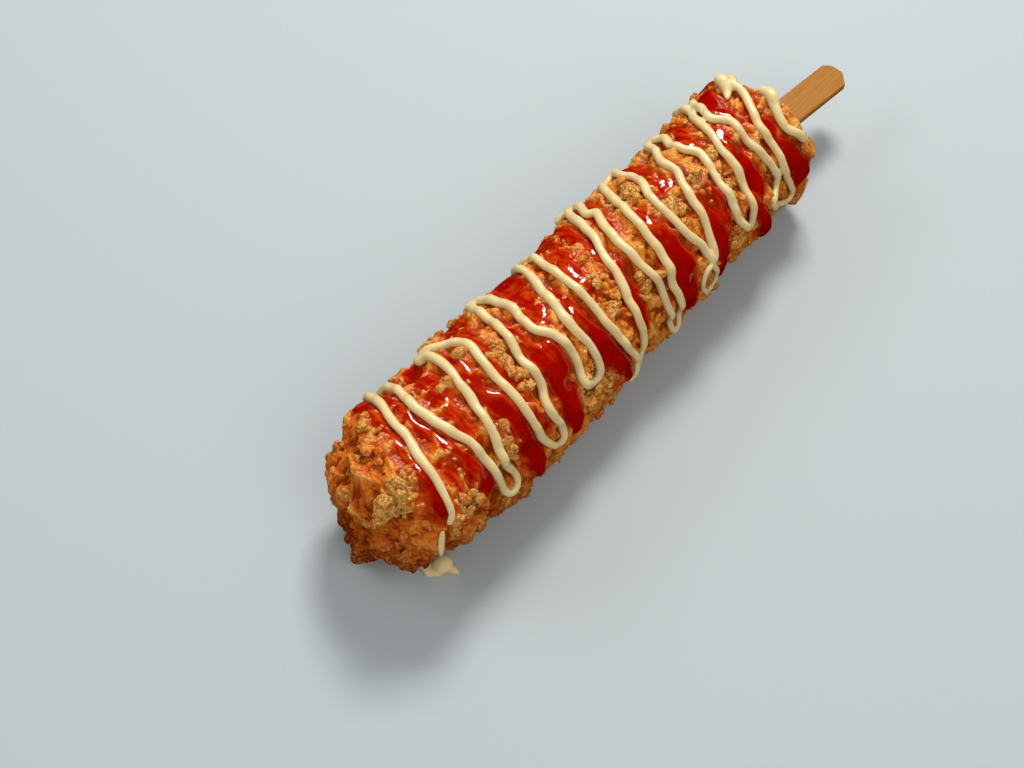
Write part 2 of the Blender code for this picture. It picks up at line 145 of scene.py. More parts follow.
# Red sauce: flows of (distance, angle, half width, thickness), in millimetres and degrees
RED_FLOWS = (
    ((24, -62, 2.2, 0.9), (21.8, -36, 1.8, 0.7), (18.4, -10, 1.5, 0.5), (16, 15, 1.4, 0.5),
     (15.2, 25, 1.4, 0.8), (14.4, 35, 1.9, 1.3), (13.6, 44, 2.0, 1.7), (13.3, 52, 1.8, 1.7)),
    ((29, -62, 1.8, 0.9), (26.8, -24, 1.7, 0.8), (24.6, -2, 1.5, 0.7), (25.4, 18, 1.6, 0.6),
     (26.6, 40, 2.0, 0.9), (28.4, 66, 3.0, 1.6)),
    ((21, 30, 1.8, 0.4), (21.5, 50, 2.0, 0.5)),
    ((40, -48, 3.6, 0.8), (37.2, -28, 3.2, 0.7), (35.4, -6, 2.8, 0.6), (32.6, 18, 2.4, 0.7),
     (32.8, 38, 1.8, 0.5)),
    ((46.2, -22, 1.8, 0.7), (44.6, 2, 2.0, 0.7), (43.4, 18, 2.4, 0.8), (44.4, 34, 3.0, 1.4),
     (45, 56, 3.0, 1.2), (46.0, 76, 3.4, 1.6), (46.3, 89, 2.9, 2.1), (46.4, 98, 2.2, 2.0)),
    ((60, -62, 3.4, 0.9), (56.6, -36, 3.4, 0.7), (53.4, -12, 2.0, 0.5), (51, 12, 1.6, 0.6),
     (51.4, 36, 1.4, 0.4), (51.8, 66, 2.4, 0.8)),
    ((64.6, -16, 1.6, 0.5), (62, 12, 2.2, 0.8), (62.4, 34, 3.4, 1.3), (62.4, 52, 4.0, 1.7),
     (62.0, 68, 3.7, 1.8), (62.4, 82, 2.9, 2.2), (62.6, 92, 2.4, 2.2)),
    ((66.6, 24, 2.0, 1.2), (66.4, 44, 2.2, 1.4)),
    ((81, -58, 4.4, 1.1), (77.6, -38, 4.6, 0.9), (74, -12, 3.4, 0.7), (70.8, 8, 2.4, 0.6)),
    ((81.8, -2, 1.2, 0.4), (79.8, 18, 1.8, 0.8), (80.2, 36, 2.8, 1.2), (80.6, 54, 3.6, 1.5),
     (84, 76, 3.2, 1.5), (88, 102, 2.4, 1.4)),
    ((97, -56, 4.0, 0.9), (93.6, -26, 3.8, 0.7), (89.8, 0, 2.8, 0.8), (88, 22, 1.6, 0.6)),
    ((104, -52, 2.4, 0.8), (102, -28, 2.4, 0.9), (100.6, -2, 1.8, 0.6), (101.2, 18, 2.0, 1.0),
     (98, 38, 2.8, 1.6), (96.8, 58, 2.8, 1.4), (97, 70, 2.4, 1.3)),
    ((116, -58, 3.2, 0.9), (112.4, -26, 2.0, 0.8), (109.6, -6, 1.6, 0.6)),
    ((119, 2, 1.4, 0.5), (117, 16, 2.4, 0.9), (117.2, 32, 3.6, 1.3), (116.8, 52, 4.6, 1.7),
     (115.6, 70, 4.6, 1.6), (118, 94, 2.4, 1.5)),
    ((136, -58, 3.6, 1.0), (133.4, -32, 3.8, 0.8), (131.4, -10, 2.8, 0.7), (134.6, 0, 1.6, 0.6),
     (127, 2, 1.5, 0.5)),
    ((136, 18, 1.2, 0.5), (135.4, 36, 2.6, 0.8), (135.4, 52, 3.8, 1.4), (134.8, 70, 3.3, 1.7),
     (134.8, 86, 2.8, 1.9), (136.4, 99, 2.6, 2.5), (136.6, 108, 2.2, 2.8)),
    ((141.4, 26, 1.6, 0.8), (140.8, 46, 1.8, 0.9), (139.8, 60, 1.6, 0.7)),
    ((158.4, -50, 2.4, 0.9), (154, -28, 2.8, 0.9), (150.8, -10, 2.0, 0.7)),
    ((160.4, -2, 2.0, 0.7), (157.4, 14, 2.8, 1.0), (157.6, 36, 3.4, 1.4), (158.6, 58, 3.0, 1.6)),
    ((152.8, 60, 2.4, 1.2), (153.8, 72, 3.0, 1.7), (155.6, 86, 3.0, 2.2), (157.4, 97, 2.5, 2.6),
     (157.6, 105, 2.0, 2.4)),
    ((174.6, -46, 3.4, 1.7), (169.6, -28, 3.8, 1.9), (168.6, -6, 2.6, 1.0), (165.8, 14, 1.4, 0.6)),
    ((179.4, -8, 1.4, 0.7), (174.2, 8, 1.8, 0.9), (175.6, 26, 1.8, 1.2), (173.2, 38, 1.6, 1.1),
     (175.2, 46, 2.0, 1.4), (175.8, 58, 2.7, 1.9), (177.4, 71, 3.1, 2.3), (178.2, 83, 3.2, 2.7),
     (177.6, 93, 2.7, 2.7)),
    ((182.6, -62, 2.6, 1.2), (182.8, -40, 2.2, 1.0)),
)

# How the sauce spreads: reaches in millimetres, or in grid steps for the two beds
FLOW_PARTS = 14
FILM_REACH = 3.4
FLOW_SPREAD = 1.12
SAUCE_SINK = 0.3 * MM
SAUCE_SMOOTHING = 0.55
SAUCE_SKIN = 0.9 * MM
LEAST_SAUCE = 0.02
SAUCE_BED_REACH = 3.6
CREAM_BED_REACH = 2.2

# Cream: where each pass of the zigzag lies at these angles, as a script traced them in the photograph
STATIONS = (-23, -12, -1, 10, 21, 32, 43, 54)
PASSES = (
    (22.8, 21.4, 20.6, 18.9, 17.4, 16.5, 15.3, 14.2),
    (29.8, 28.4, 28.4, 28.5, 29.2, 30.8, 31.0, 31.4),
    (43.9, 42.7, 41.1, 40.5, 39.1, 37.9, 37.0, 35.8),
    (51.5, 51.5, 50.0, 49.0, 48.7, 48.5, 48.2, 48.4),
    (64.1, 62.3, 60.6, 59.0, 57.8, 57.8, 57.3, 54.8),
    (70.7, 69.5, 68.0, 67.5, 69.5, 70.5, 70.9, 70.2),
    (82.0, 79.9, 78.3, 77.1, 76.0, 76.0, 76.9, 77.0),
    (87.9, 86.6, 85.9, 85.4, 85.4, 85.3, 85.1, 86.3),
    (105.8, 104.3, 101.9, 99.7, 98.7, 97.2, 95.7, 95.1),
    (111.9, 109.1, 107.4, 106.2, 106.0, 106.1, 106.7, 108.0),
    (119.9, 118.1, 116.0, 114.4, 113.5, 113.1, 112.3, 111.6),
    (131.0, 128.3, 125.0, 123.4, 123.5, 123.7, 124.7, 126.6),
    (141.2, 138.7, 138.6, 136.0, 134.1, 133.2, 132.3, 131.1),
    (147.9, 147.3, 149.2, 148.1, 146.3, 144.8, 144.3, 143.4),
    (160.8, 158.6, 156.6, 154.4, 153.8, 153.3, 152.6, 151.2),
    (165.0, 162.4, 165.6, 164.4, 164.2, 164.8, 165.9, 167.2),
    (181.4, 179.6, 176.7, 173.9, 172.0, 171.9, 171.7, 171.2),
)
CREAM_START = ((12.5, 61), (13.4, 57.5))
TOP_TURNS = (
    ((24.7, -34), (26.0, -45), (27.0, -57), (28.0, -70), (29.4, -84), (31.8, -85), (33.2, -72),
     (33.4, -59), (32.4, -46), (31.1, -34)),
    ((44.0, -31), (43.5, -38), (42.6, -43), (43.6, -47), (45.2, -42.5), (47.2, -36.5), (50.0, -30.5)),
    ((65.0, -34), (66.3, -44), (67.3, -53), (68.4, -60), (70.3, -61.5), (71.4, -54), (71.6, -45),
     (70.9, -34)),
    ((83.7, -34), (84.6, -44), (85.2, -53), (86.4, -60), (88.6, -61), (89.9, -54), (90.1, -45),
     (88.9, -34)),
    ((107.2, -29), (108.6, -40), (110.6, -49), (112.5, -57), (114.4, -63), (116.0, -58), (115.0, -49),
     (113.0, -41), (111.8, -34), (113.3, -29)),
    ((122.0, -34), (124.4, -45), (126.8, -53), (129.4, -57.5), (132.0, -58.5), (133.9, -56), (132.9, -49),
     (132.5, -42), (132.8, -34)),
    ((144.2, -32), (146.8, -42), (148.3, -52), (150.1, -54), (151.3, -46), (151.3, -38), (148.9, -28)),
    ((162.6, -30), (165.0, -37), (167.6, -46), (169.0, -56), (170.2, -70), (171.8, -82), (174.0, -80),
     (174.0, -66), (172.2, -53), (170.0, -44), (168.0, -36), (166.3, -28)),
)
LOWER_TURNS = (
    ((31.5, 62), (32.0, 74), (32.5, 84), (34.0, 89.5), (36.5, 89.5), (38.1, 86), (38.0, 79), (35.6, 64)),
    ((49.0, 65), (50.5, 78), (52.6, 87), (55.0, 91.5), (56.9, 86), (57.0, 77), (55.4, 66)),
    ((69.5, 58), (69.0, 63), (70.6, 70), (73.4, 75.5), (76.0, 75.5), (77.2, 70), (77.4, 62)),
    ((87.0, 63), (88.3, 74), (90.2, 85), (91.2, 95), (89.8, 104), (88.0, 110), (90.4, 105), (93.3, 97),
     (95.2, 84), (95.5, 72), (95.0, 61)),
    ((108.0, 64), (108.2, 76), (108.8, 91), (109.4, 102), (110.8, 110), (112.6, 110), (113.6, 101),
     (113.2, 91), (112.5, 80), (112.1, 70), (111.4, 61)),
    ((127.0, 61), (127.6, 68.5), (129.4, 69.5), (130.5, 61)),
    ((143.5, 60), (144.5, 67), (146.4, 74), (148.6, 78), (150.1, 74), (150.6, 66), (150.8, 59)),
    ((168.0, 62), (168.5, 70), (166.6, 75), (163.0, 76.5), (161.4, 79), (162.4, 86), (165.5, 94),
     (169.6, 101), (173.0, 105), (175.0, 100), (173.7, 88), (172.0, 75), (171.1, 63)),
)
CURVE_PARTS = 12
CREAM_STEP = 0.6 * MM
CREAM_DEPTH_SHARE = 0.88
CREAM_LIFT = 0.75 * MM
CREAM_SIDES = 14
CREAM_VOXEL = 0.38 * MM
LEAST_CAP = 0.02

# Other strokes of cream: their places, then half widths in millimetres spread along them
STROKES = (
    (((183.5, -5), (183.6, 3), (182.4, 10), (181, 16), (179.4, 24), (178.5, 33), (179.1, 41),
      (181.3, 50), (183.4, 57)),
     (1.5, 1.8, 1.8, 1.6, 1.5, 1.4, 1.5, 1.5, 1.4)),
    (((181.6, -41), (181, -35), (179.4, -29), (177, -24), (175, -20.5)), (2.4, 2.3, 1.9, 1.2, 0.5)),
    (((184, -38), (183.2, -31), (181.2, -25), (180.2, -19)), (1.8, 1.8, 1.5, 1.4)),
    (((113.8, -62), (111.6, -66), (109.5, -69)), (1.5, 1.4, 1.2)),
    (((11, 62), (10.3, 66), (9.5, 71), (8.8, 76), (8.6, 83), (9.4, 92)), (0.5, 0.9, 0.9, 0.7, 0.55, 0.5)),
    (((127.4, 70), (124.2, 70.5), (122, 76), (122.2, 84), (124.2, 94), (126.6, 103), (128.6, 107),
      (130.2, 103), (131, 96), (130.5, 88), (129.1, 80), (127.6, 73)),
     (1.2, 1.0, 1.0, 1.0, 1.1, 1.2, 1.3, 1.2, 1.1, 1.0, 1.0, 1.1)),
)

# Half widths along the zigzag, in millimetres
ZIGZAG_WIDTHS = (0.9,) + (1.37,) * 60

# A strand gets thinner between these two angles, down by this share
STRAND_THINNING = (60, 105, 0.25)

# The drop beside the rounded end: distance, across, height and half width, in millimetres
DROP_STROKES = (
    ((14.5, -5.0, 6.5, 3.0), (12.6, -8.2, 3.6, 2.6), (11.0, -11.2, 1.6, 1.8), (9.6, -13.8, 1.2, 1.4),
     (11.4, -15.6, 1.4, 1.8), (14.0, -16.8, 1.4, 1.7), (14.4, -18.6, 1.1, 1.2), (14.9, -20.4, 0.6, 0.5)),
    ((11.5, -13.8, 3.0, 2.7), (13.3, -15.9, 3.2, 2.8), (15.1, -18.0, 3.0, 2.7)),
)
DROP_PARTS = 10

# Where the stick leaves the coated body
STICK_FOOT = BODY_LENGTH - BOX_CENTRE.x

# Colours of the crust
AMBER_DARK = (0.60, 0.085, 0.003, 1)
AMBER_LIGHT = (0.82, 0.30, 0.014, 1)
AMBER_TIPS = (0.86, 0.42, 0.06, 1)
AMBER_NEAR = (0.68, 0.090, 0.003, 1)
CRUMB_LIGHT = (0.84, 0.44, 0.10, 1)
CRUMB_DARK = (0.60, 0.19, 0.018, 1)
# Painted highlight: raised ridges of the crust are lightened to this gold
RAISED_PAINTED_HIGHLIGHT = (0.80, 0.42, 0.09, 1)
# Painted shade: the low part of the crust towards the rounded end is darkened to this brown
UNDERSIDE_PAINTED_SHADE = (0.24, 0.025, 0.002, 1)
# Painted shade: creases of the crust are darkened to this brown
CREASE_PAINTED_SHADE = (0.27, 0.025, 0.001, 1)
STAIN_LIGHT = (0.55, 0.060, 0.003, 1)
STAIN_DARK = (0.41, 0.012, 0.001, 1)

# Colours of the sauces and the stick
SAUCE_THIN_DARK = (0.37, 0.007, 0.0005, 1)
SAUCE_THIN_LIGHT = (0.55, 0.05, 0.003, 1)
SAUCE_THICK = (0.33, 0.0014, 0.0002, 1)
CREAM_DARK = (0.73, 0.565, 0.265, 1)
CREAM_LIGHT = (0.77, 0.625, 0.325, 1)
WOOD_DARK = (0.32, 0.115, 0.008, 1)
WOOD_LIGHT = (0.39, 0.155, 0.013, 1)
WOOD_SPECK = (0.22, 0.05, 0.006, 1)
WOOD_GREASY = (0.38, 0.10, 0.010, 1)

# How much noise is squeezed along each axis: sauce runs round the body, wood grain along the stick
SAUCE_SQUEEZE = (1, 1 / 4, 1 / 4)
WOOD_SQUEEZE = (0.06, 1, 1)

# The colour mix node's inputs (factor, first, second) and its result
MIX_INPUTS = (0, 6, 7)
MIX_RESULT = 2

# Camera, floor and lights
LENS = 50
SENSOR = 36
CAMERA_PLACE = Vector((-225.25, -145.0, 347.5)) * MM
CAMERA_TURN = math.radians(50.27)
CAMERA_PITCH = math.radians(55.36)
CAMERA_ROLL = math.radians(-0.52)
FLOOR_COLOUR = (0.43, 0.47, 0.48, 1)
FLOOR_SIZE = 6.0
FLOOR_DROP = 0.05 * MM

# Area lights: name, place, size, power, colour, and whether glossy things mirror it
LIGHTS = (
    ("key", (0.62, 0.34, 0.95), (0.36, 0.29), 11.8, (1.0, 0.985, 0.96), True),
    ("window", (-0.55, 0.85, 0.75), (0.7, 0.25), 3.2, (0.93, 0.97, 1.0), False),
    ("fill", (-0.30, -0.75, 0.85), (0.8, 0.8), 5.0, (1.0, 0.98, 0.95), False),
)
ROOM_COLOUR = (0.93, 0.97, 1.0, 1)
ROOM_STRENGTH = 0.36


def full_radius(x):
    return NEAR_RADIUS + (FAR_RADIUS - NEAR_RADIUS) * x / BODY_LENGTH


def body_radius(x):
    """Radius of the turned form under the relief."""
    radius = full_radius(x)
    if x < NEAR_DOME:
        return radius * math.sqrt(max(0.0, 1 - (1 - x / NEAR_DOME) ** 2))
    start = BODY_LENGTH - FAR_DOME
    if x > start:
        depth = min(1.0, (x - start) / FAR_DOME)
        return radius * (1 - depth ** FAR_SQUARENESS) ** (1 / FAR_SQUARENESS)
    return radius


def on_form(x, radius, angle):
    """The place on the turned form at a distance, a radius and an angle."""
    turn = math.radians(angle)
    return Vector((x, -radius * math.sin(turn), radius * math.cos(turn)))


def settle(point):
    """Take a point from the body's axis to its place over the floor."""
    lean = max(0.0, 1 - point.x / (2 * NEAR_DOME)) ** 2
    placed = point + TIP_SHIFT * lean + Vector((0, 0, full_radius(point.x) - REST_DEPTH)) - BOX_CENTRE
    placed.z = max(placed.z, 0.0)
    return placed


def smoothstep(low, high, value):
    share = min(max((value - low) / (high - low), 0.0), 1.0)
    return share * share * (3 - 2 * share)


def outward(point):
    """The way that relief stands out: away from the axis, and straight out of the flat far end."""
    middle = Vector((min(max(point.x, NEAR_DOME), BODY_LENGTH - FAR_DOME), 0, 0))
    away = (point - middle).normalized()
    if point.x < BODY_LENGTH - FAR_DOME:
        return away
    spread = math.hypot(point.y, point.z) / FAR_RADIUS
    return away.lerp(Vector((1, 0, 0)), smoothstep(0.92, 0.7, spread)).normalized()


def bumps(x, angle, table):
    """Sum of the soft bumps of a table of (distance, angle, half width, height) at a place."""
    total = 0.0
    for along, around, half_width, rise in table:
        if abs(x - along * MM) > 3 * half_width * MM:
            continue
        arc = math.radians((angle - around + 180) % 360 - 180) * NEAR_RADIUS
        distance = math.hypot(x - along * MM, arc) / (half_width * MM)
        total += rise * math.exp(-distance ** 2)
    return total


def coarse_relief(point, angle):
    """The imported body's own relief."""
    swell = noise.noise(point / SWELL_SIZE + RELIEF_SEED)
    ridge = 1 - 2.2 * abs(noise.noise(point / CRAG_SIZE + RELIEF_SEED * 2))
    patch = noise.noise(point / (2 * CRAG_SIZE) - RELIEF_SEED)
    clumps = bumps(point.x, angle, CLUMPS) * MM
    return SWELL_HEIGHT * swell + clumps + CRAG_HEIGHT * (0.45 * ridge + 0.8 * patch) - CRAG_BASE


def warp(point):
    """Three unrelated noises at a place, as a vector."""
    return Vector([noise.noise(point + offset) for offset in WARP_OFFSETS])


def fine_relief(point, angle):
    """Ragged lumps with creases, raised crumbly patches and waves on the smooth batter.

    Returns the height and how crumbly the place is.
    """
    warped = point + warp(point / WARP_SIZE) * WARP_REACH
    warped += warp(warped / (0.35 * WARP_SIZE)) * (0.4 * WARP_REACH)
    lump = 2 * abs(noise.noise(warped / LUMP_SIZE + RELIEF_SEED)) - 0.4
    lobe = 2 * abs(noise.noise(warped / LOBE_SIZE)) - 0.4
    wide = noise.noise(warped / TAN_SIZE - RELIEF_SEED)
    ragged = noise.noise(warped / (0.28 * TAN_SIZE))
    patch = 0.95 * bumps(point.x, angle, TAN_PATCHES) + 0.55 * wide + 0.35 * ragged + 0.2
    crumbly = smoothstep(*CRUMBLY_RANGE, patch)
    calm = 1 - CALMING * min(1.0, bumps(point.x, angle, SMOOTH_PLACES)) * (1 - crumbly)
    grain = max(0.0, 1 - 1.2 * noise.voronoi((point + warped) / (2 * GRAIN_SIZE))[0][0])
    wave = 1 - 2 * abs(noise.noise(Vector((warped.x, 0.5 * warped.y, 0.5 * warped.z)) / WAVE_SIZE))
    bead = 2 * abs(noise.noise((point + warped) / (2 * BEAD_SIZE))) - 0.4
    height = LUMP_HEIGHT * lump * calm + LOBE_HEIGHT * lobe * (0.6 + 0.4 * crumbly) * calm
    height += BEAD_HEIGHT * bead * (0.6 + 0.4 * crumbly)
    height += bumps(point.x, angle, DENTS) * MM
    height += crumbly * (PLATEAU_HEIGHT + GRAIN_HEIGHT * (grain - 0.45))
    height += (1 - crumbly) * WAVE_HEIGHT * (wave - 0.6) * calm
    return height, crumbly


def ring_places():
    """Distance and radius of each ring, from the rounded end to the middle of the far end."""
    places = []
    dome_steps = round(math.pi / 2 * 0.5 * (NEAR_DOME + NEAR_RADIUS) / RING_STEP)
    for i in range(1, dome_steps):
        x = NEAR_DOME * (1 - math.cos(math.pi / 2 * i / dome_steps))
        places.append((x, body_radius(x)))
    straight = BODY_LENGTH - FAR_DOME - NEAR_DOME
    steps = round(straight / RING_STEP)
    for i in range(steps):
        x = NEAR_DOME + straight * i / steps
        places.append((x, body_radius(x)))
    edge_steps = round(1.6 * FAR_DOME / RING_STEP)
    for i in range(edge_steps):
        x = BODY_LENGTH - FAR_DOME * (1 - math.sin(math.pi / 2 * i / edge_steps))
        places.append((x, body_radius(x)))
    inner = places[-1][1]
    disc_steps = round(inner / (1.6 * RING_STEP))
    for i in range(1, disc_steps):
        places.append((BODY_LENGTH, inner * (1 - i / disc_steps)))
    return places


def column_angles():
    low, high = FINE_ANGLES
    fine = np.arange(low, high, FINE_STEP)
    coarse = np.arange(high, low + 360, COARSE_STEP)
    return np.concatenate([fine, coarse])


def blur(field, reach):
    """Soften a grid field over a reach given in grid steps, closed round the body."""
    radius = max(1, int(math.ceil(2.5 * reach)))
    weights = np.exp(-0.5 * (np.arange(-radius, radius + 1) / reach) ** 2)
    weights /= weights.sum()
    padded = np.pad(field, ((radius, radius), (0, 0)), mode="edge")
    along = sum(w * padded[i:i + field.shape[0]] for i, w in enumerate(weights))
    return sum(w * np.roll(along, i - radius, axis=1) for i, w in enumerate(weights))


def filled_in(table, count):
    """A table's rows with more read off between them, count rows in all."""
    rows = np.array(table, float)
    wanted = np.linspace(0, len(rows) - 1, count)
    return np.stack([np.interp(wanted, range(len(rows)), column) for column in rows.T], axis=1)


def sauce_fields(rings, angles, wobble):
    """Thickness of the red sauce and its film over the grid, in millimetres and 0 to 1."""
    along = np.array([x / MM for x, _ in rings])[:, None]
    radius = np.array([max(r, 6 * MM) / MM for _, r in rings])[:, None]
    around = (angles[None, :] + 180) % 360 - 180
    thickness = np.zeros((len(rings), len(angles)))
    film = np.zeros_like(thickness)
    for flow in RED_FLOWS:
        points = filled_in(flow, FLOW_PARTS * (len(flow) - 1) + 1)
        for x, angle, half_width, depth in points * (1, 1, FLOW_SPREAD, 1):
            near = np.abs(along[:, 0] - x) < half_width + FILM_REACH + 2
            arc = np.radians(around - angle) * radius[near]
            distance = np.hypot(along[near] - x, arc) * (1 + 0.3 * wobble[near]) / half_width
            body = depth * np.sqrt(np.clip(1 - distance ** 2, 0, 1))
            thickness[near] = np.maximum(thickness[near], body)
            reach = 1 + FILM_REACH / half_width
            halo = np.clip((reach - distance) / (reach - 0.8), 0, 1) * min(1.0, 0.45 + 0.6 * depth)
            film[near] = np.maximum(film[near], halo)
    return thickness, film


def make_fields():
    """Everything that is known over the grid: places, heights and masks."""
    rings = ring_places()
    angles = column_angles()
    shape = (len(rings), len(angles))
    height = np.zeros(shape)
    tan = np.zeros(shape)
    wobble = np.zeros(shape)
    bases = []
    for i, (x, radius) in enumerate(rings):
        row = []
        for j, angle in enumerate(angles):
            point = on_form(x, radius, angle)
            fine, tan[i, j] = fine_relief(point, angle)
            height[i, j] = coarse_relief(point, angle) + fine
            wobble[i, j] = noise.noise(point / (3.5 * MM)) + 0.6 * noise.noise(point / (1.6 * MM))
            row.append(point)
        bases.append(row)
    thickness, film = sauce_fields(rings, angles, wobble)
    bed = blur(height, SAUCE_BED_REACH)
    height += (bed - height) * SAUCE_SMOOTHING * np.clip(blur(thickness, 1.5), 0, 1)
    sauce = 0.8 * bed + 0.2 * blur(height, 1.4) + blur(thickness, 1.0) * MM - SAUCE_SINK
    around = 0.7 * blur(height, 3) + 0.5 * blur(height, 8)
    return {
        "rings": rings, "angles": angles, "bases": bases, "height": height, "tan": tan,
        "distances": [x for x, _ in rings if x < BODY_LENGTH - 0.3 * MM],
        # pit: how far a place lies below its surroundings; it paints the crease shade and the ridge
        # highlight
        "pit": np.clip((around - 1.2 * height) / CREASE_DEPTH, -1, 1),
        "film": film * np.clip(1 - (height - bed) / (0.9 * MM), 0.2, 1),
        "thickness": thickness, "sauce": sauce,
        "bridge": blur(np.maximum(height, sauce), CREAM_BED_REACH),
    }


def surface_point(fields, i, j, height):
    point = fields["bases"][i][j]
    return settle(point + outward(point) * height)


def grid_faces(rings, columns):
    faces = []
    for i in range(rings - 1):
        for j in range(columns):
            k = (j + 1) % columns
            faces.append((i * columns + j, i * columns + k, (i + 1) * columns + k, (i + 1) * columns + j))
    return faces


def new_piece(name, vertices, faces, material):
    mesh = bpy.data.meshes.new(name)
    mesh.from_pydata([tuple(v) for v in vertices], [], faces)
    mesh.validate()
    mesh.shade_smooth()
    mesh.materials.append(material)
    piece = bpy.data.objects.new(name, mesh)
    bpy.context.scene.collection.objects.link(piece)
    return piece


def add_attribute(piece, name, values):
    layer = piece.data.attributes.new(name, "FLOAT", "POINT")
    layer.data.foreach_set("value", np.asarray(values, np.float32))


def make_crust(fields, material, name, first, last):
    """The coated body between two rings, closed at whichever end of the body it holds."""
    columns = len(fields["angles"])
    vertices = [surface_point(fields, i, j, fields["height"][i, j])
                for i in range(first, last + 1) for j in range(columns)]
    faces = grid_faces(last + 1 - first, columns)
    values = {key: fields[key][first:last + 1].ravel() for key in ("tan", "pit", "film")}
    ends = []
    if first == 0:
        ends.append((0, 1))
    if last == len(fields["rings"]) - 1:
        ends.append(((last - first) * columns, -1))
    for start, way in ends:
        middle = len(vertices)
        vertices.append(sum((vertices[start + j] for j in range(columns)), Vector()) / columns)
        faces += [(middle, start + (j + 1) % columns, start + j)[::way] for j in range(columns)]
        values = {key: np.append(row, row[start]) for key, row in values.items()}
    crust = new_piece(name, vertices, faces, material)
    for key, row in values.items():
        add_attribute(crust, key, row)
    return crust


def make_sauce(fields, material):
    """The red sauce as a closed skin where it stands over the crust.

    The edges are a dictionary without values, because it keeps their order.
    """
    height, sauce = fields["height"], fields["sauce"]
    shape = height.shape
    wet = (fields["thickness"] > LEAST_SAUCE) & (sauce > height - 0.25 * MM)
    wet = wet | (blur(wet.astype(float), 0.8) > 0.3)
    index = {}
    vertices, depths = [], []
    faces = []
    edges = {}

    def vertex(i, j, under):
        key = (i, j, under)
        if key not in index:
            index[key] = len(vertices)
            top = sauce[i, j]
            level = min(top, height[i, j]) - SAUCE_SKIN if under else top
            vertices.append(surface_point(fields, i, j, level))
            depths.append(max(0.0, top - height[i, j]) / MM)
        return index[key]

    for i in range(shape[0] - 1):
        for j in range(shape[1]):
            k = (j + 1) % shape[1]
            corners = ((i, j), (i, k), (i + 1, k), (i + 1, j))
            if not all(wet[a, b] for a, b in corners):
                continue
            faces.append([vertex(a, b, False) for a, b in corners])
            faces.append([vertex(a, b, True) for a, b in reversed(corners)])
            for start, end in zip(corners, corners[1:] + corners[:1]):
                if (end, start) in edges:
                    del edges[(end, start)]
                else:
                    edges[(start, end)] = None
    for (a, b), (c, d) in edges:
        faces.append([vertex(c, d, False), vertex(a, b, False), vertex(a, b, True), vertex(c, d, True)])
    piece = new_piece("red_sauce", vertices, faces, material)
    add_attribute(piece, "depth", depths)
    return piece


def smooth_route(points, step):
    """Evenly spaced places on a Catmull-Rom curve through (distance, angle) points."""
    padded = [points[0]] + list(points) + [points[-1]]
    dense = []
    for a, b, c, d in zip(padded, padded[1:], padded[2:], padded[3:]):
        for i in range(CURVE_PARTS):
            t = i / CURVE_PARTS
            dense.append(tuple(0.5 * (2 * q + (r - p) * t + (2 * p - 5 * q + 4 * r - s) * t ** 2
                                      + (3 * q - p - 3 * r + s) * t ** 3)
                               for p, q, r, s in zip(a, b, c, d)))
    dense.append(tuple(points[-1]))
    dense = np.array(dense)
    arc = np.hypot(np.diff(dense[:, 0]) * MM, np.radians(np.diff(dense[:, 1])) * NEAR_RADIUS)
    lengths = np.append(0.0, np.cumsum(arc))
    wanted = np.linspace(0, lengths[-1], max(3, round(lengths[-1] / step)))
    return np.stack([np.interp(wanted, lengths, dense[:, i]) for i in range(2)], axis=1)


def cream_route():
    """The whole zigzag as one list of (distance, angle) points."""
    route = list(CREAM_START)
    for number, row in enumerate(PASSES):
        points = list(zip(row, STATIONS))
        going_down = number % 2
        route += points if going_down else points[::-1]
        if number + 1 < len(PASSES):
            route += (LOWER_TURNS if going_down else TOP_TURNS)[number // 2]
    return route


def height_at(fields, name, x, angle):
    """A field read between the grid's lines, on the rings before the flat far end."""
    distances = fields["distances"]
    row = min(max(np.interp(x, distances, range(len(distances))), 0), len(distances) - 1.001)
    turn = (angle - FINE_ANGLES[0]) % 360 + FINE_ANGLES[0]
    columns = fields["angles"]
    column = np.interp(turn, np.append(columns, columns[0] + 360), range(len(columns) + 1))
    i, j = int(row), int(column)
    k = (j + 1) % len(columns)
    j = j % len(columns)
    u, v = row - i, column - int(column)
    grid = fields[name]
    return ((grid[i, j] * (1 - v) + grid[i, k] * v) * (1 - u)
            + (grid[i + 1, j] * (1 - v) + grid[i + 1, k] * v) * u)


def add_tube(places, normals, widths, vertices, faces):
    """Add a flattened tube with round ends through the places."""
    count = len(places)
    start = len(vertices)
    steps = [(places[i + 1] - places[i]).length for i in range(count - 1)]
    travelled = np.append(0.0, np.cumsum(steps))
    for i, (place, normal, width) in enumerate(zip(places, normals, widths)):
        ahead = (places[min(i + 1, count - 1)] - places[max(i - 1, 0)]).normalized()
        side = ahead.cross(normal).normalized()
        up = side.cross(ahead).normalized()
        from_end = min(travelled[i], travelled[-1] - travelled[i])
        cap = math.sqrt(max(LEAST_CAP, 1 - max(0.0, 1 - from_end / width) ** 2))
        for k in range(CREAM_SIDES):
            turn = 2 * math.pi * k / CREAM_SIDES
            offset = side * math.cos(turn) + up * math.sin(turn) * CREAM_DEPTH_SHARE
            vertices.append(place + offset * width * cap)
    for i in range(count - 1):
        for k in range(CREAM_SIDES):
            n = (k + 1) % CREAM_SIDES
            a, b = start + i * CREAM_SIDES, start + (i + 1) * CREAM_SIDES
            faces.append((a + k, b + k, b + n, a + n))
    faces.append(tuple(start + k for k in range(CREAM_SIDES)))
    last = start + (count - 1) * CREAM_SIDES
    faces.append(tuple(last + k for k in reversed(range(CREAM_SIDES))))


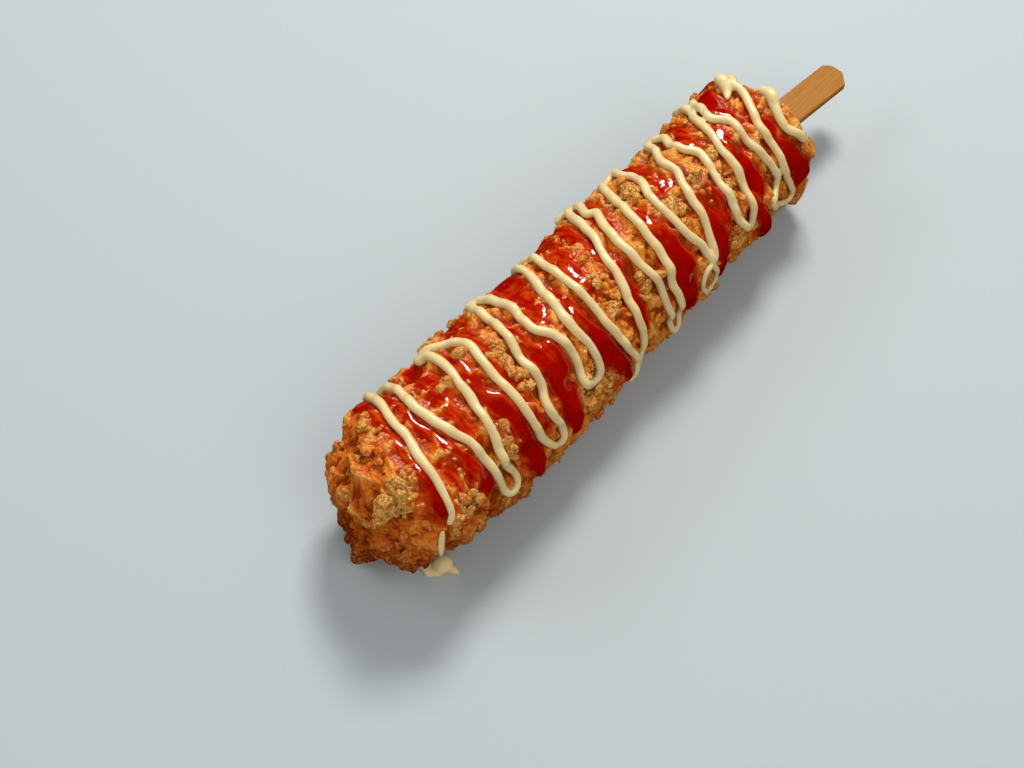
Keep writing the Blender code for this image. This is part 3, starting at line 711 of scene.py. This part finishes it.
def drape(fields, points, widths, vertices, faces):
    """Add a strand that lies over the crust and its sauce along (distance, angle) points."""
    places, normals, angles = [], [], []
    for x, angle in smooth_route(points, CREAM_STEP):
        x = x * MM
        angles.append(angle)
        base = on_form(x, body_radius(x), angle)
        direction = outward(base)
        places.append(settle(base + direction * (height_at(fields, "bridge", x, angle) + CREAM_LIFT)))
        normals.append(direction)
    spread = np.interp(np.linspace(0, 1, len(places)), np.linspace(0, 1, len(widths)), widths) * MM
    low, high, loss = STRAND_THINNING
    spread = spread * [1 - loss * smoothstep(low, high, angle) for angle in angles]
    varied = [width * (1 + 0.14 * noise.noise(place / (8 * MM)) + 0.09 * noise.noise(place / (2.8 * MM)))
              for width, place in zip(spread, places)]
    add_tube(places, normals, varied, vertices, faces)


def fused(piece, voxel):
    """The piece with its overlapping strands melted into one skin."""
    melt = piece.modifiers.new("melt", "REMESH")
    melt.mode = "VOXEL"
    melt.voxel_size = voxel
    melt.use_smooth_shade = True
    soften = piece.modifiers.new("soften", "SMOOTH")
    soften.factor = 0.5
    soften.iterations = 3
    bpy.context.view_layer.update()
    mesh = bpy.data.meshes.new_from_object(piece.evaluated_get(bpy.context.evaluated_depsgraph_get()))
    piece.modifiers.clear()
    piece.data = mesh
    return piece


def make_cream(fields, material):
    """The zigzag, its other strokes and the drop beside the rounded end."""
    vertices, faces = [], []
    drape(fields, cream_route(), ZIGZAG_WIDTHS, vertices, faces)
    for points, widths in STROKES:
        drape(fields, points, widths, vertices, faces)
    for stroke in DROP_STROKES:
        rows = filled_in(stroke, DROP_PARTS * len(stroke)) * MM
        places = [Vector(row[:3]) - BOX_CENTRE for row in rows]
        add_tube(places, [Vector((0, 0, 1))] * len(places), rows[:, 3], vertices, faces)
    for vertex in vertices:
        vertex.z = max(vertex.z, 0.0)
    return fused(new_piece("cream_sauce", vertices, faces, material), CREAM_VOXEL)


def under_cream(spots, x, angle):
    """Whether a place on the crust is too near a strand of cream for a flake."""
    arc = np.radians((spots[:, 1] - angle + 180) % 360 - 180) * NEAR_RADIUS / MM
    return np.hypot(spots[:, 0] - x / MM, arc).min() < FLAKE_CLEARANCE


def make_flakes(fields, material):
    """Ragged flakes and crumbs of batter that stand out of the crust."""
    chance = random.Random(FLAKE_SEED)
    cream_spots = np.concatenate([smooth_route(points, CREAM_STEP)
                                  for points in [cream_route()] + [points for points, _ in STROKES]])
    vertices, faces, tans, pits, films = [], [], [], [], []
    placed = 0
    while placed < FLAKE_COUNT + CRUMB_COUNT:
        x = chance.uniform(*FLAKE_SPAN) * MM
        angle = chance.uniform(*(SHOWN_ANGLES if chance.random() < SHOWN_SHARE else HIDDEN_ANGLES))
        crumbly = height_at(fields, "tan", x, angle)
        wet = height_at(fields, "thickness", x, angle) > FLAKE_WET_LIMIT
        if wet or under_cream(cream_spots, x, angle):
            continue
        if chance.random() > SMOOTH_CHANCE + (1 - SMOOTH_CHANCE) * crumbly:
            continue
        big = placed < FLAKE_COUNT
        size = chance.uniform(*(FLAKE_SIZES if big else CRUMB_SIZES)) * MM
        detail = 3 if size > LARGE_FLAKE else 2 if big else 1
        add_flake(fields, chance, (x, angle), size, detail, vertices, faces, pits)
        tans += [min(1.0, 0.45 + crumbly)] * (len(vertices) - len(tans))
        films += [0.8 * height_at(fields, "film", x, angle)] * (len(vertices) - len(films))
        placed += 1
    piece = new_piece("flakes", vertices, faces, material)
    for name, values in (("tan", tans), ("pit", pits), ("film", films)):
        add_attribute(piece, name, values)
    return piece


def add_flake(fields, chance, spot, size, detail, vertices, faces, pits):
    """Add one lumpy flake, partly sunk in the crust."""
    x, angle = spot
    base = on_form(x, body_radius(x), angle)
    direction = outward(base)
    sides = Vector([size * chance.uniform(*span) for span in FLAKE_PROPORTIONS])
    lean = direction.to_track_quat("Z", "Y") @ Quaternion((0, 0, 1), chance.uniform(0, 2 * math.pi))
    lean = lean @ Quaternion((1, 0, 0), chance.uniform(-FLAKE_LEAN, FLAKE_LEAN))
    centre = base + direction * (height_at(fields, "height", x, angle) + FLAKE_LIFT * size)
    seed = Vector([chance.uniform(0, NOISE_SPAN) for _ in range(3)])
    form = bmesh.new()
    bmesh.ops.create_icosphere(form, subdivisions=detail, radius=1.0)
    start = len(vertices)
    for vertex in form.verts:
        unit = vertex.co.normalized()
        lump = 0.4 * noise.noise(unit * 1.3 + seed) + 0.3 * noise.noise(unit * 3.2 + seed)
        stretch = Vector(a * b for a, b in zip(unit * (1 + lump), sides))
        vertices.append(settle(centre + lean @ stretch))
        # a flake's pit from its lumps, for the painted crease shade and ridge highlight
        pits.append(min(0.6, max(-1.0, -1.3 * lump - 0.1)))
    faces += [tuple(start + v.index for v in face.verts) for face in form.faces]
    form.free()


def socket(shader, name, value):
    shader.inputs[name].default_value = value


def set_subsurface(shader, weight, radius, scale):
    socket(shader, "Subsurface Weight", weight)
    socket(shader, "Subsurface Radius", radius)
    socket(shader, "Subsurface Scale", scale)


def new_material(name):
    material = bpy.data.materials.new(name)
    material.use_nodes = True
    nodes = material.node_tree.nodes
    return material, nodes, material.node_tree.links, nodes["Principled BSDF"]


def read_attribute(nodes, name):
    node = nodes.new("ShaderNodeAttribute")
    node.attribute_name = name
    return node.outputs["Fac"]


def mix_colours(nodes, links, factor, first, second):
    """A colour mix whose inputs may be sockets or plain colours."""
    node = nodes.new("ShaderNodeMix")
    node.data_type = "RGBA"
    for value, place in zip((factor, first, second), MIX_INPUTS):
        if isinstance(value, bpy.types.NodeSocket):
            links.new(value, node.inputs[place])
        else:
            node.inputs[place].default_value = value
    return node.outputs[MIX_RESULT]


def remap(nodes, links, value, low, high, to_low=0.0, to_high=1.0):
    """A value taken smoothly from one range to another."""
    node = nodes.new("ShaderNodeMapRange")
    node.interpolation_type = "SMOOTHSTEP"
    links.new(value, node.inputs["Value"])
    node.inputs["From Min"].default_value = low
    node.inputs["From Max"].default_value = high
    node.inputs["To Min"].default_value = to_low
    node.inputs["To Max"].default_value = to_high
    return node.outputs["Result"]


def object_place(nodes):
    return nodes.new("ShaderNodeTexCoord").outputs["Object"]


def noise_texture(nodes, links, size, detail=3.0, rough=0.55, squeeze=None):
    """Noise whose features are about the given size, and longer where an axis is squeezed."""
    place = object_place(nodes)
    if squeeze:
        mapping = nodes.new("ShaderNodeMapping")
        mapping.inputs["Scale"].default_value = squeeze
        links.new(place, mapping.inputs["Vector"])
        place = mapping.outputs["Vector"]
    node = nodes.new("ShaderNodeTexNoise")
    node.inputs["Scale"].default_value = 1 / size
    node.inputs["Detail"].default_value = detail
    node.inputs["Roughness"].default_value = rough
    links.new(place, node.inputs["Vector"])
    return node.outputs["Fac"]


def add_bump(nodes, links, shader, heights):
    """Chain of bumps, each (height socket, distance, strength)."""
    normal = None
    for height, distance, strength in heights:
        bump = nodes.new("ShaderNodeBump")
        bump.inputs["Distance"].default_value = distance
        bump.inputs["Strength"].default_value = strength
        links.new(height, bump.inputs["Height"])
        if normal is not None:
            links.new(normal, bump.inputs["Normal"])
        normal = bump.outputs["Normal"]
    links.new(normal, shader.inputs["Normal"])


def grain_texture(nodes, links, size):
    """Distance from the middle of the nearest grain, 0 to about 1."""
    node = nodes.new("ShaderNodeTexVoronoi")
    node.inputs["Scale"].default_value = 1 / size
    links.new(object_place(nodes), node.inputs["Vector"])
    return node.outputs["Distance"]


def axis_fade(nodes, links, axis, low, high, to_low=0.0, to_high=1.0):
    """A smooth change between two places along an axis of the scene."""
    split = nodes.new("ShaderNodeSeparateXYZ")
    links.new(object_place(nodes), split.inputs[0])
    return remap(nodes, links, split.outputs[axis], low, high, to_low, to_high)


def scene_x(distance):
    """Scene coordinate of a distance from the rounded end, in millimetres."""
    return distance * MM - BOX_CENTRE.x


def multiply(nodes, links, first, second):
    node = nodes.new("ShaderNodeMath")
    node.operation = "MULTIPLY"
    links.new(first, node.inputs[0])
    links.new(second, node.inputs[1])
    return node.outputs[0]


def crust_colour(nodes, links, tan, pit, film, fine, grain):
    """Amber batter and tan crumbs, then a painted highlight on raised ridges, painted shade low on the
    near end and in the creases, then the red stain.
    """
    broad = noise_texture(nodes, links, 3.6 * MM, 4.0, 0.65)
    tips = multiply(nodes, links, remap(nodes, links, grain, 0.55, 0.15),
                    remap(nodes, links, fine, 0.4, 0.65))
    near = axis_fade(nodes, links, "X", scene_x(45), scene_x(12), 0.0, 0.5)
    low_down = axis_fade(nodes, links, "Z", 34 * MM, 10 * MM)
    near_end = axis_fade(nodes, links, "X", scene_x(70), scene_x(10), 0.4, 1.0)
    # painted shade: darker low down and towards the rounded end, patchy with fine noise
    under = multiply(nodes, links, multiply(nodes, links, low_down, near_end),
                     remap(nodes, links, fine, 0.64, 0.46, 0.35, 1.0))
    crumb = mix_colours(nodes, links, remap(nodes, links, grain, 0.3, 0.8), CRUMB_LIGHT, CRUMB_DARK)
    stain = mix_colours(nodes, links, remap(nodes, links, film, 0.3, 0.9), STAIN_LIGHT, STAIN_DARK)
    colour = mix_colours(nodes, links, remap(nodes, links, broad, 0.35, 0.65), AMBER_DARK, AMBER_LIGHT)
    layers = (
        (tips, AMBER_TIPS),
        (near, AMBER_NEAR),
        (remap(nodes, links, tan, 0.1, 0.9), crumb),
        # painted highlight on the raised ridges
        (remap(nodes, links, pit, -0.1, -1.0, 0.0, 0.5), RAISED_PAINTED_HIGHLIGHT),
        # painted shade low down towards the rounded end
        (under, UNDERSIDE_PAINTED_SHADE),
        # painted shade in the creases
        (remap(nodes, links, pit, 0.05, 0.8, 0.0, 0.9), CREASE_PAINTED_SHADE),
        (remap(nodes, links, film, 0.08, 0.7, 0.0, 0.88), stain),
    )
    for share, layer in layers:
        colour = mix_colours(nodes, links, share, colour, layer)
    return colour


def crust_material():
    """Fried batter: tan crumbs, amber smooth places, painted shade in the creases and a red stain under
    the sauce.
    """
    material, nodes, links, shader = new_material("fried_crust")
    tan, pit, film = (read_attribute(nodes, name) for name in ("tan", "pit", "film"))
    fine = noise_texture(nodes, links, 0.9 * MM, 4.0, 0.65)
    grain = grain_texture(nodes, links, 0.85 * MM)
    colour = crust_colour(nodes, links, tan, pit, film, fine, grain)
    links.new(colour, shader.inputs["Base Color"])
    links.new(remap(nodes, links, film, 0.15, 0.7, 0.22, 0.13), shader.inputs["Roughness"])
    socket(shader, "Specular IOR Level", 0.55)
    set_subsurface(shader, 0.1, (1.0, 0.3, 0.08), 1.0 * MM)
    dry = remap(nodes, links, film, 0.1, 0.7, 1.0, 0.25)
    grainy = multiply(nodes, links, remap(nodes, links, grain, 0.1, 0.9, 1.0, 0.0),
                      remap(nodes, links, tan, 0.0, 1.0, 0.5, 1.0))
    add_bump(nodes, links, shader, (
        (multiply(nodes, links, grainy, dry), 0.4 * MM, 0.9),
        (multiply(nodes, links, fine, dry), 0.5 * MM, 0.9),
    ))
    return material


def sauce_material():
    """Wet red sauce, orange in streaks where it is thin and deep red where it is thick."""
    material, nodes, links, shader = new_material("red_sauce")
    depth = read_attribute(nodes, "depth")
    streak = noise_texture(nodes, links, 1.3 * MM, 3.0, 0.5, SAUCE_SQUEEZE)
    thin = mix_colours(nodes, links, remap(nodes, links, streak, 0.4, 0.65),
                       SAUCE_THIN_DARK, SAUCE_THIN_LIGHT)
    colour = mix_colours(nodes, links, remap(nodes, links, depth, 0.15, 1.0), thin, SAUCE_THICK)
    links.new(colour, shader.inputs["Base Color"])
    socket(shader, "Roughness", 0.08)
    socket(shader, "Specular IOR Level", 0.5)
    set_subsurface(shader, 0.1, (1.0, 0.04, 0.01), 1.0 * MM)
    add_bump(nodes, links, shader, (
        (noise_texture(nodes, links, 2.4 * MM, 2.0), 0.3 * MM, 0.35),
        (streak, 0.25 * MM, 0.4),
    ))
    return material


def cream_material():
    """Smooth thick cream sauce."""
    material, nodes, links, shader = new_material("cream_sauce")
    tone = noise_texture(nodes, links, 5 * MM)
    colour = mix_colours(nodes, links, remap(nodes, links, tone, 0.3, 0.7), CREAM_DARK, CREAM_LIGHT)
    links.new(colour, shader.inputs["Base Color"])
    socket(shader, "Roughness", 0.35)
    set_subsurface(shader, 0.6, (1.0, 0.75, 0.35), 1.3 * MM)
    add_bump(nodes, links, shader, ((noise_texture(nodes, links, 1.8 * MM, 2.0), 0.1 * MM, 0.3),))
    return material


def wood_material():
    """Raw pale wood with grain along the stick, a few dark specks and a greasy foot."""
    material, nodes, links, shader = new_material("stick_wood")
    grain = noise_texture(nodes, links, 0.8 * MM, 5.0, 0.5, WOOD_SQUEEZE)
    specks = noise_texture(nodes, links, 1.5 * MM, 2.0)
    foot = axis_fade(nodes, links, "X", STICK_FOOT + 22 * MM, STICK_FOOT)
    marked = multiply(nodes, links, remap(nodes, links, specks, 0.6, 0.72), foot)
    greasy = axis_fade(nodes, links, "X", STICK_FOOT + 7 * MM, STICK_FOOT - 1 * MM, 0.0, 0.5)
    colour = mix_colours(nodes, links, remap(nodes, links, grain, 0.3, 0.72), WOOD_DARK, WOOD_LIGHT)
    colour = mix_colours(nodes, links, marked, colour, WOOD_SPECK)
    colour = mix_colours(nodes, links, greasy, colour, WOOD_GREASY)
    links.new(colour, shader.inputs["Base Color"])
    socket(shader, "Roughness", 0.5)
    socket(shader, "Specular IOR Level", 0.15)
    add_bump(nodes, links, shader, ((grain, 0.12 * MM, 0.4),))
    return material


def make_floor():
    mesh = bpy.data.meshes.new("floor")
    half = FLOOR_SIZE / 2
    corners = [(-half, -half, 0), (half, -half, 0), (half, half, 0), (-half, half, 0)]
    mesh.from_pydata(corners, [], [(0, 1, 2, 3)])
    floor = bpy.data.objects.new("floor", mesh)
    bpy.context.scene.collection.objects.link(floor)
    floor.location.z = -FLOOR_DROP
    floor.visible_glossy = False
    floor.visible_diffuse = False
    material, _, _, shader = new_material("pale_floor")
    socket(shader, "Base Color", FLOOR_COLOUR)
    socket(shader, "Roughness", 0.7)
    mesh.materials.append(material)


def area_light(name, place, size, power, colour, mirrored):
    """Add an area light that faces the middle of the scene."""
    light = bpy.data.lights.new(name, "AREA")
    light.shape = "RECTANGLE"
    light.size, light.size_y = size
    light.energy = power
    light.color = colour
    lamp = bpy.data.objects.new(name, light)
    bpy.context.scene.collection.objects.link(lamp)
    lamp.location = place
    lamp.rotation_euler = (-Vector(place)).to_track_quat("-Z", "Y").to_euler()
    lamp.visible_glossy = mirrored


def make_lights():
    for row in LIGHTS:
        area_light(*row)
    world = bpy.data.worlds.new("soft_room")
    bpy.context.scene.world = world
    world.use_nodes = True
    background = world.node_tree.nodes["Background"]
    background.inputs["Color"].default_value = ROOM_COLOUR
    background.inputs["Strength"].default_value = ROOM_STRENGTH
    world.cycles_visibility.glossy = False


def make_camera():
    """Camera at the photograph's place and angle."""
    data = bpy.data.cameras.new("camera")
    data.lens = LENS
    data.sensor_width = SENSOR
    data.clip_start = 0.01
    camera = bpy.data.objects.new("camera", data)
    bpy.context.scene.collection.objects.link(camera)
    level = Vector((math.sin(CAMERA_TURN), math.cos(CAMERA_TURN), 0))
    right = Vector((math.cos(CAMERA_TURN), -math.sin(CAMERA_TURN), 0))
    up = level * math.sin(CAMERA_PITCH) + Vector((0, 0, math.cos(CAMERA_PITCH)))
    back = Vector((0, 0, math.sin(CAMERA_PITCH))) - level * math.cos(CAMERA_PITCH)
    turn = Matrix((right, up, back)).transposed().to_4x4()
    camera.matrix_world = Matrix.Translation(CAMERA_PLACE) @ turn @ Matrix.Rotation(CAMERA_ROLL, 4, "Z")
    bpy.context.scene.camera = camera


def main():
    bpy.context.scene.view_settings.view_transform = "Standard"
    make_camera()
    make_lights()
    make_floor()
    fields = make_fields()
    split = int(np.searchsorted([x for x, _ in fields["rings"]], SPLIT_PLACE))
    last = len(fields["rings"]) - 1
    batter = crust_material()
    pieces = (
        (make_crust(fields, batter, "crust_near", 0, split), "crust"),
        (make_crust(fields, batter, "crust_far", split, last), "crust"),
        (make_flakes(fields, batter), "crust"),
        (make_sauce(fields, sauce_material()), "red_sauce"),
        (make_cream(fields, cream_material()), "cream_sauce"),
    )
    for piece, name in pieces:
        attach(piece, "root")
        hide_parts("corn_dog")
    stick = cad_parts["stick"]
    stick.data.materials.clear()
    stick.data.materials.append(wood_material())
    print("triangles", {o.name: sum(len(p.vertices) - 2 for p in o.data.polygons) for o, _ in pieces})


main()
